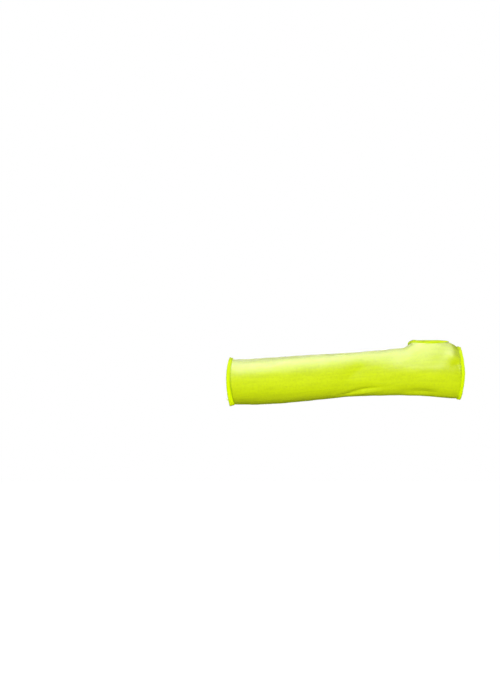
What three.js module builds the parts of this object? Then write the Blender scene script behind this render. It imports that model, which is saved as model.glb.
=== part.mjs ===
// Cut resistant knit sleeve for a right forearm and hand, in the shape that it takes when it is worn.
// It is a seamless knit tube, open at the elbow and at the fingers, with a slot for the thumb.
// A casing of overlock thread closes in each of its three cut edges.
//
// Millimetres. +X runs from the elbow to the fingers, +Z is the thumb side and +Y is the palm side.
// The origin is the middle of the elbow opening.

import * as THREE from "three";

// Length over both hems, and how far the tube's middle line climbs towards the thumb side
const LENGTH = 350;
const AXIS_RISE = 16.4;

// Height (thumb side to little finger side) and depth (back of the hand to palm) of the middle of the
// knit's wall at three places
const ELBOW_HEIGHT = 66;
const ELBOW_DEPTH = 70;
const WRIST_HEIGHT = 64.3;
const WRIST_DEPTH = 45;
const HAND_HEIGHT = 77.8;
const HAND_DEPTH = 39;

// The knit
const WALL = 1.2;

// The thumb slot: its length, its width as the thumb holds it open, the strip of knit between it and
// the finger edge, and how far its middle is turned from the top towards the palm, in degrees
const SLOT_LENGTH = 56;
const SLOT_WIDTH = 24;
const THUMB_STRIP = 21;
const SLOT_TURN = 8;

// How far the knit stands up round the slot, at its elbow end and at its finger end, how much more at
// its sides, and from how far out
const LIP_AT_WRIST = 8;
const LIP_AT_FINGERS = 4;
const LIP_AT_SIDES = 3;
const LIP_REACH = 10;

// How far the two open ends flare, and from how far back
const ELBOW_FLARE = 1.5;
const HAND_FLARE = 0.6;
const FLARE_REACH = 9;

// The bow of the two end edges, which reach furthest at the back of the hand and the palm, and least at
// the thumb and little finger sides, and from how far back the knit is drawn
const ELBOW_BOW = 4.5;
const HAND_BOW = 4;
const BOW_REACH = 30;

// The thread casing of a cut edge: how much knit it covers, its thickness, and its gap to the knit
const HEM_COVER = 4.2;
const HEM_THREAD = 0.8;
const HEM_GAP = 0.45;

// Mesh fineness. Crowding over 1 draws rows and columns together at the slot's edge.
const LIP_COLUMNS = 6;
const BODY_COLUMNS = 30;
const ELBOW_ROWS = 4;
const BODY_ROWS = 12;
const LIP_ROWS = 5;
const SLOT_ROWS = 22;
const STRIP_ROWS = 8;
const CROWDING = 1.4;
const OUTLINE_STEPS = 240;

// Sections from elbow to fingers. at is a share of LENGTH and rise a share of AXIS_RISE. height is a
// share of the height of what the section is like, and back and palm, the two half depths, are shares of
// its depth. Crown and keel are the squareness of the thumb half and of the little finger half: 2 is an
// ellipse, more is boxier.
const ELBOW = { height: ELBOW_HEIGHT, depth: ELBOW_DEPTH };
const WRIST = { height: WRIST_HEIGHT, depth: WRIST_DEPTH };
const HAND = { height: HAND_HEIGHT, depth: HAND_DEPTH };
const SECTIONS = [
  { at: 0.0, rise: 0.0, like: ELBOW, height: 1.0, back: 0.49, palm: 0.51, crown: 2.0, keel: 2.0 },
  { at: 0.07, rise: 0.0, like: ELBOW, height: 1.005, back: 0.5, palm: 0.52, crown: 2.0, keel: 2.0 },
  { at: 0.14, rise: 0.06, like: ELBOW, height: 1.027, back: 0.5, palm: 0.53, crown: 2.0, keel: 2.0 },
  { at: 0.27, rise: 0.235, like: ELBOW, height: 1.029, back: 0.48, palm: 0.5, crown: 2.05, keel: 2.0 },
  { at: 0.4, rise: 0.447, like: WRIST, height: 1.031, back: 0.67, palm: 0.69, crown: 2.1, keel: 2.1 },
  { at: 0.525, rise: 0.677, like: WRIST, height: 1.0, back: 0.55, palm: 0.56, crown: 2.1, keel: 2.15 },
  { at: 0.65, rise: 0.81, like: WRIST, height: 1.031, back: 0.49, palm: 0.5, crown: 2.15, keel: 2.2 },
  { at: 0.76, rise: 0.945, like: HAND, height: 0.894, back: 0.52, palm: 0.6, crown: 2.3, keel: 2.25 },
  { at: 0.86, rise: 1.0, like: HAND, height: 0.951, back: 0.49, palm: 0.62, crown: 2.45, keel: 2.3 },
  { at: 0.94, rise: 0.945, like: HAND, height: 1.0, back: 0.47, palm: 0.53, crown: 2.4, keel: 2.4 },
  { at: 1.0, rise: 0.753, like: HAND, height: 0.93, back: 0.46, palm: 0.45, crown: 2.4, keel: 2.5 },
].map(({ like, ...row }) => ({
  ...row,
  height: row.height * like.height,
  back: row.back * like.depth,
  palm: row.palm * like.depth,
}));

// Dents (negative) and bumps (positive). at and along are shares of LENGTH. around and across are shares
// of a turn: 0 is the slot, 0.25 the back of the hand, 0.5 the little finger side and 0.75 the palm.
const DENTS = [
  { name: "wrist hollow", at: 0.545, along: 0.045, around: 0.245, across: 0.07, push: -0.03 * WRIST_DEPTH },
  { name: "wrist crease", at: 0.585, along: 0.07, around: 0.375, across: 0.022, push: -0.045 * WRIST_DEPTH },
  { name: "wrist bone", at: 0.575, along: 0.035, around: 0.305, across: 0.035, push: 0.02 * WRIST_DEPTH },
  { name: "heel crease", at: 0.83, along: 0.07, around: 0.385, across: 0.028, push: -0.03 * HAND_DEPTH },
  { name: "knuckle valley", at: 0.97, along: 0.03, around: 0.19, across: 0.022, push: -0.035 * HAND_DEPTH },
  { name: "first knuckle", at: 0.955, along: 0.03, around: 0.125, across: 0.03, push: 0.03 * HAND_DEPTH },
  { name: "palm hollow", at: 0.87, along: 0.09, around: 0.74, across: 0.075, push: -0.13 * HAND_DEPTH },
  { name: "inner wrist", at: 0.64, along: 0.06, around: 0.75, across: 0.07, push: -0.05 * WRIST_DEPTH },
];

const HEM_TIP = HEM_GAP + HEM_THREAD;
const ELBOW_EDGE = HEM_TIP;
const HAND_EDGE = LENGTH - HEM_TIP;
const SLOT_START = LENGTH - THUMB_STRIP - SLOT_LENGTH;
const SLOT_END = LENGTH - THUMB_STRIP;
const SLOT_MIDDLE = (SLOT_START + SLOT_END) / 2;

// A column of SECTIONS at a share of the length, on a smooth curve through its rows
function sectionValue(column, share) {
  let i = 0;
  while (i < SECTIONS.length - 2 && share > SECTIONS[i + 1].at) i += 1;
  const slope = (k) => {
    const before = SECTIONS[Math.max(k - 1, 0)];
    const after = SECTIONS[Math.min(k + 1, SECTIONS.length - 1)];
    return (after[column] - before[column]) / (after.at - before.at);
  };
  const span = SECTIONS[i + 1].at - SECTIONS[i].at;
  const t = (share - SECTIONS[i].at) / span;
  const from = SECTIONS[i][column] * (1 + 2 * t) * (1 - t) ** 2 + slope(i) * span * t * (1 - t) ** 2;
  const to = SECTIONS[i + 1][column] * (3 - 2 * t) * t ** 2 - slope(i + 1) * span * (1 - t) * t ** 2;
  return from + to;
}

// The closed outline of the tube at x. Places on it are given by the arc length from the slot's middle
// line, round by the back of the hand.
const outlines = new Map();

function outlineAt(x) {
  if (outlines.has(x)) return outlines.get(x);
  const value = (column) => sectionValue(column, x / LENGTH);
  const [height, back, palm, crown, keel] = ["height", "back", "palm", "crown", "keel"].map(value);
  const axis = AXIS_RISE * value("rise");

  const pointAtAngle = (angle) => {
    const [up, side] = [Math.cos(angle), Math.sin(angle)];
    const power = up > 0 ? crown : keel;
    const flat = Math.abs((2 * up) / height) ** power + Math.abs(side / (side > 0 ? back : palm)) ** power;
    const radius = flat ** (-1 / power);
    return new THREE.Vector2(-side * radius, axis + up * radius);
  };

  const start = -THREE.MathUtils.degToRad(SLOT_TURN);
  const stepAngle = (2 * Math.PI) / OUTLINE_STEPS;
  const lengths = [0];
  for (let i = 1; i <= OUTLINE_STEPS; i += 1) {
    const chord = pointAtAngle(start + i * stepAngle).distanceTo(pointAtAngle(start + (i - 1) * stepAngle));
    lengths.push(lengths[i - 1] + chord);
  }
  const perimeter = lengths[OUTLINE_STEPS];

  const angleAt = (arc) => {
    const wrapped = THREE.MathUtils.euclideanModulo(arc, perimeter);
    let [low, high] = [0, OUTLINE_STEPS];
    while (high - low > 1) {
      const middle = (low + high) >> 1;
      if (lengths[middle] > wrapped) high = middle;
      else low = middle;
    }
    return start + (low + (wrapped - lengths[low]) / (lengths[high] - lengths[low])) * stepAngle;
  };

  const outline = { perimeter, pointAtAngle, angleAt };
  outlines.set(x, outline);
  return outline;
}

// 1 at no distance, easing to 0 at reach
const falloff = (distance, reach) => THREE.MathUtils.clamp(1 - distance / reach, 0, 1) ** 2;

// How far the lip round the slot stands up. level is 1 on the slot's edge and more outside it.
function lipHeight(x, signedArc) {
  const along = (x - SLOT_MIDDLE) / (SLOT_LENGTH / 2);
  const across = signedArc / (SLOT_WIDTH / 2);
  const level = Math.hypot(along, across);
  if (level < 0.5) return 0;
  const steepness = Math.hypot(along / (SLOT_LENGTH / 2), across / (SLOT_WIDTH / 2)) / level;
  const place = THREE.MathUtils.clamp(along / level, -1, 1);
  const ends = THREE.MathUtils.mapLinear(place, -1, 1, LIP_AT_WRIST, LIP_AT_FINGERS);
  return (ends + LIP_AT_SIDES * (1 - place ** 2)) * falloff((level - 1) / steepness, LIP_REACH);
}

// How far the knit stands off its outline at x and arc: dents, flared ends and the lip round the slot
function standOff(x, arc, perimeter) {
  const turn = THREE.MathUtils.euclideanModulo(arc / perimeter, 1);
  const signedArc = (turn < 0.5 ? turn : turn - 1) * perimeter;
  const elbowFlare = ELBOW_FLARE * falloff(x - ELBOW_EDGE, FLARE_REACH);
  const handFlare = HAND_FLARE * falloff(HAND_EDGE - x, FLARE_REACH);
  return DENTS.reduce((push, dent) => {
    const around = (turn - dent.around) / dent.across;
    const along = (x / LENGTH - dent.at) / dent.along;
    return push + dent.push * Math.exp(-(around ** 2) - along ** 2);
  }, elbowFlare + handFlare + lipHeight(x, signedArc));
}

// A point of the middle of the knit's wall
function sleevePoint(x, arc) {
  const { perimeter, pointAtAngle, angleAt } = outlineAt(x);
  const angle = angleAt(arc);
  const nudge = 1e-3;
  const along = pointAtAngle(angle + nudge).sub(pointAtAngle(angle - nudge)).normalize();
  const edge = pointAtAngle(angle);
  const push = standOff(x, arc, perimeter);
  const drawn = Math.cos(2 * Math.PI * (arc / perimeter)) ** 2;
  const bow = ELBOW_BOW * falloff(x - ELBOW_EDGE, BOW_REACH) - HAND_BOW * falloff(HAND_EDGE - x, BOW_REACH);
  return new THREE.Vector3(x + drawn * bow, edge.x + push * along.y, edge.y - push * along.x);
}

// The same point with the outward direction there
function sleeveFrame(x, arc) {
  const nudge = 0.02;
  const lengthways = sleevePoint(x + nudge, arc).sub(sleevePoint(x - nudge, arc));
  const around = sleevePoint(x, arc + nudge).sub(sleevePoint(x, arc - nudge));
  return { point: sleevePoint(x, arc), out: around.cross(lengthways).normalize() };
}

const offWall = ({ point, out }, distance) => point.clone().addScaledVector(out, distance);

// Gathers triangles into one closed mesh, leaving out those with no area
class Surface {
  corners = [];

  triangle(a, b, c) {
    const tiny = 1e-4;
    if (a.distanceTo(b) < tiny || b.distanceTo(c) < tiny || c.distanceTo(a) < tiny) return;
    this.corners.push(a, b, c);
  }

  quad(a, b, c, d) {
    this.triangle(a, b, c);
    this.triangle(a, c, d);
  }

  mesh(name, material) {
    const geometry = new THREE.BufferGeometry().setFromPoints(this.corners);
    geometry.computeVertexNormals();
    const mesh = new THREE.Mesh(geometry, material);
    mesh.name = name;
    return mesh;
  }
}

// count values from one end towards the other, without the other, and evenly spaced at a crowding of 1
function steps(from, to, count, crowding = 1) {
  return Array.from({ length: count }, (_, i) => from + (to - from) * (i / count) ** crowding);
}

// Arc lengths of the mesh columns, from one edge of the slot round to the other
const COLUMNS = 2 * LIP_COLUMNS + BODY_COLUMNS;

function columnArcs(perimeter, half) {
  const lip = steps(half, half + LIP_REACH, LIP_COLUMNS, CROWDING);
  const bodyEnd = perimeter - half - LIP_REACH;
  const body = steps(half + LIP_REACH, bodyEnd, BODY_COLUMNS);
  return [...lip, ...body, bodyEnd, ...lip.map((arc) => perimeter - arc).reverse()];
}

// Rows of the knit: where each lies, and half the slot's width there
function knitRows() {
  const before = [
    ...steps(ELBOW_EDGE, ELBOW_EDGE + FLARE_REACH, ELBOW_ROWS),
    ...steps(ELBOW_EDGE + FLARE_REACH, SLOT_START - LIP_REACH, BODY_ROWS),
    SLOT_START - LIP_REACH,
    ...steps(SLOT_START, SLOT_START - LIP_REACH, LIP_ROWS, CROWDING).slice(1).reverse(),
  ];
  const slot = steps(0, Math.PI, SLOT_ROWS).map((angle) => ({
    x: SLOT_MIDDLE - (SLOT_LENGTH / 2) * Math.cos(angle),
    half: (SLOT_WIDTH / 2) * Math.sin(angle),
    open: true,
  }));
  const after = [...steps(SLOT_END, HAND_EDGE, STRIP_ROWS, CROWDING), HAND_EDGE];
  const closed = (x) => ({ x, half: 0, open: false });
  return [...before.map(closed), ...slot, ...after.map(closed)];
}

function knitTube(material) {
  const rows = knitRows().map(({ x, half, open }) => {
    const { perimeter } = outlineAt(x);
    const frames = columnArcs(perimeter, half).map((arc) => sleeveFrame(x, arc));
    if (half === 0) frames[COLUMNS] = frames[0];
    return {
      open,
      outside: frames.map((frame) => offWall(frame, WALL / 2)),
      inside: frames.map((frame) => offWall(frame, -WALL / 2)),
    };
  });

  const surface = new Surface();
  for (let i = 0; i < rows.length - 1; i += 1) {
    const [here, next] = [rows[i], rows[i + 1]];
    for (let j = 0; j < COLUMNS; j += 1) {
      surface.quad(here.outside[j], here.outside[j + 1], next.outside[j + 1], next.outside[j]);
      surface.quad(here.inside[j], next.inside[j], next.inside[j + 1], here.inside[j + 1]);
    }
    if (here.open) {
      surface.quad(here.outside[0], next.outside[0], next.inside[0], here.inside[0]);
      surface.quad(here.inside[COLUMNS], next.inside[COLUMNS], next.outside[COLUMNS], here.outside[COLUMNS]);
    }
  }
  const [first, last] = [rows[0], rows[rows.length - 1]];
  for (let j = 0; j < COLUMNS; j += 1) {
    surface.quad(first.outside[j], first.inside[j], first.inside[j + 1], first.outside[j + 1]);
    surface.quad(last.outside[j], last.outside[j + 1], last.inside[j + 1], last.inside[j]);
  }
  return surface.mesh("knit_tube", material);
}

// The casing's section: from its mouth over the outside, round its tip, back along the inside, and then
// along the slit that holds the knit. back is the distance from the cut edge into the knit, and off the
// distance from the middle of the wall.
const CASING_INNER = WALL / 2 + HEM_GAP;
const CASING_OUTER = CASING_INNER + HEM_THREAD;
const CASING_HALF = [
  { back: HEM_COVER, off: CASING_INNER },
  { back: HEM_COVER - HEM_THREAD / 2, off: CASING_OUTER },
  { back: 0, off: CASING_OUTER },
  { back: -0.75 * HEM_TIP, off: 0.7 * CASING_OUTER },
];
const otherFace = ({ back, off }) => ({ back, off: -off });
const CASING = [
  ...CASING_HALF,
  { back: -HEM_TIP, off: 0 },
  ...CASING_HALF.map(otherFace).reverse(),
  { back: -HEM_GAP, off: -CASING_INNER },
  { back: -HEM_GAP, off: CASING_INNER },
];

// The casing's section at one place of a cut edge. place(d) gives x and arc at a flat distance d back
// from the edge. Distances into the knit are walked along its raised surface.
function casingSection(place) {
  const frameAt = (d) => sleeveFrame(...place(d));
  const stride = 0.2;
  const walk = [{ walked: 0, frame: frameAt(0) }];
  while (walk[walk.length - 1].walked < HEM_COVER) {
    const frame = frameAt(walk.length * stride);
    const last = walk[walk.length - 1];
    walk.push({ walked: last.walked + frame.point.distanceTo(last.frame.point), frame });
  }
  const ahead = walk[0].frame.point.clone().sub(walk[1].frame.point).normalize();
  return CASING.map(({ back, off }) => {
    if (back <= 0) return offWall(walk[0].frame, off).addScaledVector(ahead, -back);
    const reached = walk.findIndex(({ walked }) => walked >= back);
    const [before, after] = [walk[reached - 1], walk[reached]];
    const part = (back - before.walked) / (after.walked - before.walked);
    return offWall(before.frame, off).lerp(offWall(after.frame, off), part);
  });
}

function casing(name, sections, material) {
  const surface = new Surface();
  sections.forEach((section, i) => {
    const next = sections[(i + 1) % sections.length];
    section.forEach((corner, k) => {
      const l = (k + 1) % section.length;
      surface.quad(corner, section[l], next[l], next[k]);
    });
  });
  return surface.mesh(name, material);
}

// A hem at an open end. inward is +1 where the knit lies in +X from the edge, and -1 where it lies in -X.
function endHem(name, edge, inward, material) {
  const sections = Array.from({ length: COLUMNS }, (_, column) =>
    casingSection((d) => {
      const x = edge + inward * d;
      return [x, columnArcs(outlineAt(x).perimeter, 0)[column]];
    }),
  );
  if (inward < 0) sections.reverse();
  return casing(name, sections, material);
}

function thumbHem(material) {
  const sections = steps(0, 2 * Math.PI, 2 * SLOT_ROWS).map((angle) => {
    const [along, across] = [Math.cos(angle), Math.sin(angle)];
    const outward = new THREE.Vector2(along / SLOT_LENGTH, across / SLOT_WIDTH).normalize();
    return casingSection((d) => [
      SLOT_MIDDLE + (SLOT_LENGTH / 2) * along + outward.x * d,
      (SLOT_WIDTH / 2) * across + outward.y * d,
    ]);
  });
  return casing("thumb_hem", sections, material);
}

const knit = () => new THREE.MeshStandardMaterial({ color: 0xdcf53a, roughness: 0.8, metalness: 0 });
const overlock = () => new THREE.MeshStandardMaterial({ color: 0xccf000, roughness: 0.7, metalness: 0 });

const sleeve = new THREE.Group();
sleeve.add(
  knitTube(knit()),
  endHem("elbow_hem", ELBOW_EDGE, 1, overlock()),
  endHem("hand_hem", HAND_EDGE, -1, overlock()),
  thumbHem(overlock()),
);

export default sleeve;
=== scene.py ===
# Cut resistant knit sleeve, in the shape that a right forearm and hand give it.
# It is a seamless knit tube, open at the elbow and at the fingers, with a slot for the thumb.
# Overlock thread binds its three cut edges.
#
# Metres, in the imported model's frame: +X runs from the elbow to the fingers, +Z is the thumb side and
# +Y is the palm side. The origin is the middle of the elbow opening.

import math

import bmesh
import bpy
import numpy as np
from bpy.props import FloatProperty, FloatVectorProperty, IntProperty, PointerProperty
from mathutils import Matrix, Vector


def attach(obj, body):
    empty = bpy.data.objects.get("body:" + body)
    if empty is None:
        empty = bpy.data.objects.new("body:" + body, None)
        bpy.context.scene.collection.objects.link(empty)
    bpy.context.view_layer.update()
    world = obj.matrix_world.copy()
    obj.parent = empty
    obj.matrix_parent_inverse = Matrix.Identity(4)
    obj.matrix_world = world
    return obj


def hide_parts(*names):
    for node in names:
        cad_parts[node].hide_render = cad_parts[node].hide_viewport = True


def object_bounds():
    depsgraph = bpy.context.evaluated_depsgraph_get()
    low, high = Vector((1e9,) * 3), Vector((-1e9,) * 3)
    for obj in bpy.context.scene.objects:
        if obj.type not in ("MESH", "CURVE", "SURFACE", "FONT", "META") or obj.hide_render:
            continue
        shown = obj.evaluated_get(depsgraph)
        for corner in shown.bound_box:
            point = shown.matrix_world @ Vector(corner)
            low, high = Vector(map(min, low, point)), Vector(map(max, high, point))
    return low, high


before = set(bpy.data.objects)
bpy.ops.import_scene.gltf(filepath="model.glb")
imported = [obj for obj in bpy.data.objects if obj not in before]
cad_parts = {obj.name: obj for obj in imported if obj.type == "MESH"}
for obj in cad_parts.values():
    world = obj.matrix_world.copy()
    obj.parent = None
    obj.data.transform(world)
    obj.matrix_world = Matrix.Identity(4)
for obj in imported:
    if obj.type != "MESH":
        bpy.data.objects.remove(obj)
CAD_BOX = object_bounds()
CAD_LENGTH = round(CAD_BOX[1].x - CAD_BOX[0].x, 3)

bl_info = {
    "name": "Cut resistant sleeve",
    "version": (1, 0, 0),
    "blender": (4, 5, 0),
    "location": "View3D > Sidebar > Sleeve",
    "description": "A knitted sleeve for forearm and hand in its worn shape, with overlocked edges",
    "category": "Add Mesh",
}

MM = 0.001
TURN = 2 * math.pi

# The sleeve's real sizes

# How far the tube's middle line climbs towards the thumb side
AXIS_RISE = 16.4 * MM

# Height and depth of the middle of the knit's wall where the sleeve is like an elbow, wrist or hand
LIKE = {"elbow": (66 * MM, 70 * MM), "wrist": (64.3 * MM, 45 * MM), "hand": (77.8 * MM, 39 * MM)}

# Sections from elbow to fingers. at is a share of the length and rise a share of AXIS_RISE. height is a
# share of the height of what the section is like, and back and palm are shares of its depth. Crown and
# keel are the squareness of the thumb half and of the little finger half: 2 is an ellipse. Lean is how
# far the thumb half slants towards the palm, for each metre of its height.
SECTION_COLUMNS = ("at", "rise", "like", "height", "back", "palm", "crown", "keel", "lean")
SECTIONS = (
    (0.0, 0.0, "elbow", 1.0, 0.49, 0.51, 2.0, 2.0, 0.0),
    (0.07, 0.0, "elbow", 1.005, 0.5, 0.52, 2.0, 2.0, 0.0),
    (0.14, 0.06, "elbow", 1.027, 0.5, 0.53, 2.0, 2.0, 0.0),
    (0.27, 0.235, "elbow", 1.029, 0.48, 0.5, 2.05, 2.0, 0.0),
    (0.4, 0.447, "wrist", 1.031, 0.67, 0.69, 2.1, 2.1, 0.0),
    (0.525, 0.677, "wrist", 1.0, 0.55, 0.56, 2.1, 2.15, 0.0),
    (0.65, 0.81, "wrist", 1.031, 0.49, 0.5, 2.05, 2.2, 0.14),
    (0.76, 0.945, "hand", 0.894, 0.56, 0.58, 1.9, 2.2, 0.34),
    (0.86, 1.0, "hand", 0.951, 0.58, 0.56, 1.8, 2.2, 0.46),
    (0.94, 0.945, "hand", 1.0, 0.54, 0.5, 1.85, 2.3, 0.42),
    (1.0, 0.753, "hand", 0.93, 0.48, 0.44, 2.1, 2.5, 0.3),
)

# The lip round the thumb slot: how far it stands up at its elbow end and at its finger end, how much
# more at its sides, and from how far out. The slot's middle is turned towards the palm.
LIP_AT_WRIST = 9 * MM
LIP_AT_FINGERS = 3.6 * MM
LIP_AT_SIDES = 3.6 * MM
LIP_REACH = 10 * MM
LIP_SIDE_REACH = 40 * MM
SLOT_TURN = math.radians(8)

# How the lip's sides ease down to the knit: 1 is a straight slope
LIP_SIDE_EASE = 1.4

# How softly the lean starts at the middle of the height, and the share of the height where it leaves
# the depth as it is
LEAN_EASE = 0.14
LEAN_PIVOT = 0.24

# The open ends: how far they flare and bow, and from how far back. The finger end bows more towards the
# little finger side, by its slant, and its bow is turned by a share of a turn.
ELBOW_FLARE = 1.5 * MM
HAND_FLARE = 0.6 * MM
FLARE_REACH = 9 * MM
ELBOW_BOW = 4.5 * MM
HAND_BOW = 1.7 * MM
HAND_BOW_SLANT = 1.3
HAND_BOW_TURN = 0.03
BOW_REACH = 30 * MM

# The thread's reach past a cut edge, which sets the edge back from the sleeve's end
HEM_TIP = 1.25 * MM

# How much wider the elbow hem is on the little finger side, and where along its edge and how far, as
# shares of the edge
ELBOW_WIDENING = 0.55
WIDE_AT = 0.46
WIDE_REACH = 0.13

# The tack at the slot's elbow end, where the thread starts and ends: how much thicker the hem is there,
# and where along its edge and how far, as shares of the edge
SLOT_TACK = 0.5
TACK_AT = 0.5
TACK_REACH = 0.022

# The thread's two cut ends, which hang out of the elbow hem: where, as a share of its edge, and their
# paths, as millimetres along the edge and back from it, and the height as a share of the hem's own
TAIL_AT = 0.386
TAILS = (
    ((0.0, 1.5, 1.0), (0.3, 0.2, 1.6), (0.2, -1.4, 1.5), (-0.5, -2.6, 1.0), (-1.2, -3.2, 0.4)),
    ((1.2, 1.2, 1.0), (1.0, 0.0, 1.5), (0.8, -1.2, 1.2), (1.1, -2.3, 0.6), (1.9, -3.0, 0.0)),
)
TAIL_STRAND = 0.75

# Painted shade: dark lines painted into the knit's colour beside the hems, where the hems shade it: how far
# in from the cut edge, how wide, how strongly all round, and where most and how far, as shares of a turn
HEM_SHADE_LINE = 4.7 * MM
HEM_SHADE_SPREAD = 1.3 * MM
ELBOW_SHADE = 0.25
ELBOW_SHADE_AT = 0.4
ELBOW_SHADE_REACH = 0.14
HAND_SHADE = 0.15
HAND_SHADE_AT = 0.27
HAND_SHADE_REACH = 0.09

# The stitches round the hand along which the painted shade beside the hand hem comes and goes, and how much
# it fades between them
HAND_SHADE_STITCHES = 37
HAND_SHADE_FADE = 0.4

# Dents (negative) and bumps (positive) of the arm and hand that the knit lies on, and its own folds.
# at and along are shares of the length, around and across shares of a turn: 0 is the slot, 0.25 the
# back of the hand, 0.5 the little finger side and 0.75 the palm. A lean turns the fold as it runs.
FOLD_COLUMNS = ("name", "at", "along", "around", "across", "lean", "push")
FOLDS = (
    ("wrist hollow", 0.545, 0.045, 0.245, 0.07, 0.0, -1.35 * MM),
    ("wrist slant", 0.535, 0.045, 0.262, 0.032, -1.1, -0.7 * MM),
    ("wrist bone", 0.57, 0.04, 0.335, 0.035, 0.0, 0.7 * MM),
    ("forearm fold", 0.53, 0.05, 0.43, 0.02, -0.42, -1.7 * MM),
    ("wrist crease", 0.6, 0.05, 0.405, 0.016, -0.1, -2.0 * MM),
    ("wrist roll", 0.575, 0.06, 0.447, 0.014, -0.15, 0.9 * MM),
    ("heel crease", 0.82, 0.07, 0.478, 0.034, 0.2, -2.8 * MM),
    ("heel roll", 0.84, 0.07, 0.505, 0.02, 0.0, 0.5 * MM),
    ("knuckle valley", 0.962, 0.028, 0.258, 0.035, -0.6, -1.0 * MM),
    ("knuckle crease", 0.964, 0.018, 0.232, 0.016, -0.8, -1.2 * MM),
    ("first knuckle", 0.955, 0.032, 0.185, 0.055, 0.0, 3.0 * MM),
    ("strip", 0.962, 0.024, 0.0, 0.11, 0.0, 2.6 * MM),
    ("palm hollow", 0.87, 0.09, 0.74, 0.075, 0.0, -5.07 * MM),
    ("inner wrist", 0.64, 0.06, 0.75, 0.07, 0.0, -2.25 * MM),
    ("elbow hem groove", 0.022, 0.007, 0.39, 0.13, 0.0, -0.7 * MM),
    ("hand hem groove", 0.973, 0.007, 0.3, 0.08, 0.0, -0.25 * MM),
)

# Shallow waves of the knit between its folds: how many along the sleeve and round it, where they start
# as a share of a wave, and how deep they are
WAVE_COLUMNS = ("name", "lengthways", "round", "start", "depth")
WAVES = (
    ("long waves", 3.0, 3, 0.1, 0.18 * MM),
    ("slanting waves", 9.0, 5, 0.6, 0.1 * MM),
    ("short waves", 17.0, -4, 0.3, 0.07 * MM),
)

# Puckers where the overlock thread gathers a cut edge: how many in a turn, how far they stray from even
# places and in how many swings, and by how many places they shift from end to end
PUCKERS = 17
PUCKER_SWAY = 0.4
PUCKER_SWINGS = 3
PUCKER_SHIFT = 4
PUCKER_DEPTH = 0.3 * MM
PUCKER_REACH = 11 * MM

# Fineness of the cloth's mesh. Crowding over 1 draws rows and columns to the slot's edge.
OUTLINE_STEPS = 240
LIP_COLUMNS = 10
BODY_COLUMNS = 124
ELBOW_ROWS = 8
BODY_ROWS = 170
LIP_ROWS = 9
SLOT_ROWS = 44
STRIP_ROWS = 15
CROWDING = 1.4

# The hems' padding: how far it keeps off the knit, and how deep the strands sink into it, as a share of
# a strand
CORE_CLEARANCE = 0.12 * MM
STRAND_SINK = 0.6

# Where the thread rounds the cut edge, as shares of its reach past the edge and of its height
BEND_REACH = 0.75
BEND_HEIGHT = 0.7

# How many pitches a wrapping strand slants over the outside, and how thick the seam's strands are, as a
# share of a wrapping one
WRAP_SLANT = 1.6
SEAM_STRAND = 0.8

# How many sides a strand has, how thin it is at its ends, as a share of itself, and how unevenly the
# strands lie
STRAND_SIDES = 5
STRAND_END = 0.55
UNEVENNESS = 0.035
SEED = 7

# The knit's stitches, as shares of one: how far a leg of the V climbs, how much of its height is left
# where it dips under the next, and how far the loops of the reverse swing
LEG_CLIMB = 1.2
LEG_DIP = 0.35
LOOP_SWING = 0.2

# Unevenness of the knit: how far its loops stray from their places, in stitches, and over what length,
# the size of its patches, and the width and length of its streaks, in stitches
LOOP_STRAY = 0.5
LOOP_STRAY_SIZE = 3.846 * MM
KNIT_PATCH_SIZE = 2.857 * MM
STREAK_WIDTH = 2.2222
STREAK_LENGTH = 33.333

# How strongly streaks and patches lighten the knit, and from what level
SHADE_GAIN = 1.1
SHADE_START = -1.0

# The thread's fibres, drawn a few times coarser than they are so that they show, how far they stand out,
# and the size of its patches
FIBRE_SIZE = 0.4545 * MM
FIBRE_RELIEF = 0.1 * MM
THREAD_PATCH_SIZE = 6.25 * MM

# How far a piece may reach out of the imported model's box
FIT = 5 * MM

# The photograph's view: where the camera stands, straight on, and what one pixel of its 700 spans at
# the sleeve's middle
CAMERA_ALONG = 35 * MM
CAMERA_UP = 47.3 * MM
PIXEL = 1.483 * MM
IMAGE_HEIGHT = 700
SENSOR = 36.0

# The middle of the sleeve, which the lights face
LIT_PLACE = (170 * MM, 0.0, 20 * MM)

# The soft panels: where each stands, how wide it is, and whether it gives plain light, gloss or both
PANELS = {
    "front": ((0.1, -1.9, 0.1), 1.4, "plain"),
    "far": ((0.25, 1.9, 0.4), 1.6, "both"),
    "overhead": ((0.17, 0.03, 1.6), 1.4, "gloss"),
}

# The floor: how far it lies below the origin, how wide it is, and how much it glows
FLOOR_DROP = 0.8
FLOOR_SIZE = 12.0
FLOOR_GLOW = 0.85


def linear(hex_colour):
    """The red, green, blue and alpha of an sRGB hex colour, made linear"""
    values = [int(hex_colour[i : i + 2], 16) / 255 for i in (1, 3, 5)]
    return [v / 12.92 if v <= 0.04045 else ((v + 0.055) / 1.055) ** 2.4 for v in values] + [1.0]


def a_length(name, description, default):
    """A length that a user may change"""
    return FloatProperty(name=name, description=description, default=default, unit="LENGTH", precision=5)


def a_colour(name, description, hex_colour):
    """A colour that a user may change"""
    default = linear(hex_colour)
    return FloatVectorProperty(name=name, description=description, default=default, size=4, subtype="COLOR")


def a_brightness(name, description, default):
    """The brightness of a light that a user may change"""
    return FloatProperty(name=name, description=description, default=default, min=0.0)


class SLEEVE_PG_shape(bpy.types.PropertyGroup):
    """The sleeve's own sizes"""

    length: a_length("Length", "From hem to hem, as the packed model has it", CAD_LENGTH)
    wall: a_length("Knit thickness", "Thickness of the knit", 1.2 * MM)
    slot_length: a_length("Slot length", "Length of the thumb slot", 54 * MM)
    slot_width: a_length("Slot width", "Width of the thumb slot as a thumb holds it open", 24 * MM)
    thumb_strip: a_length("Strip", "Knit between the slot and the finger edge", 21 * MM)
    fold_depth: FloatProperty(
        name="Fold depth",
        description="Depth of the folds, where 1 is as they are worn",
        default=1.0,
        min=0.0,
        max=2.0,
        subtype="FACTOR",
    )


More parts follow.
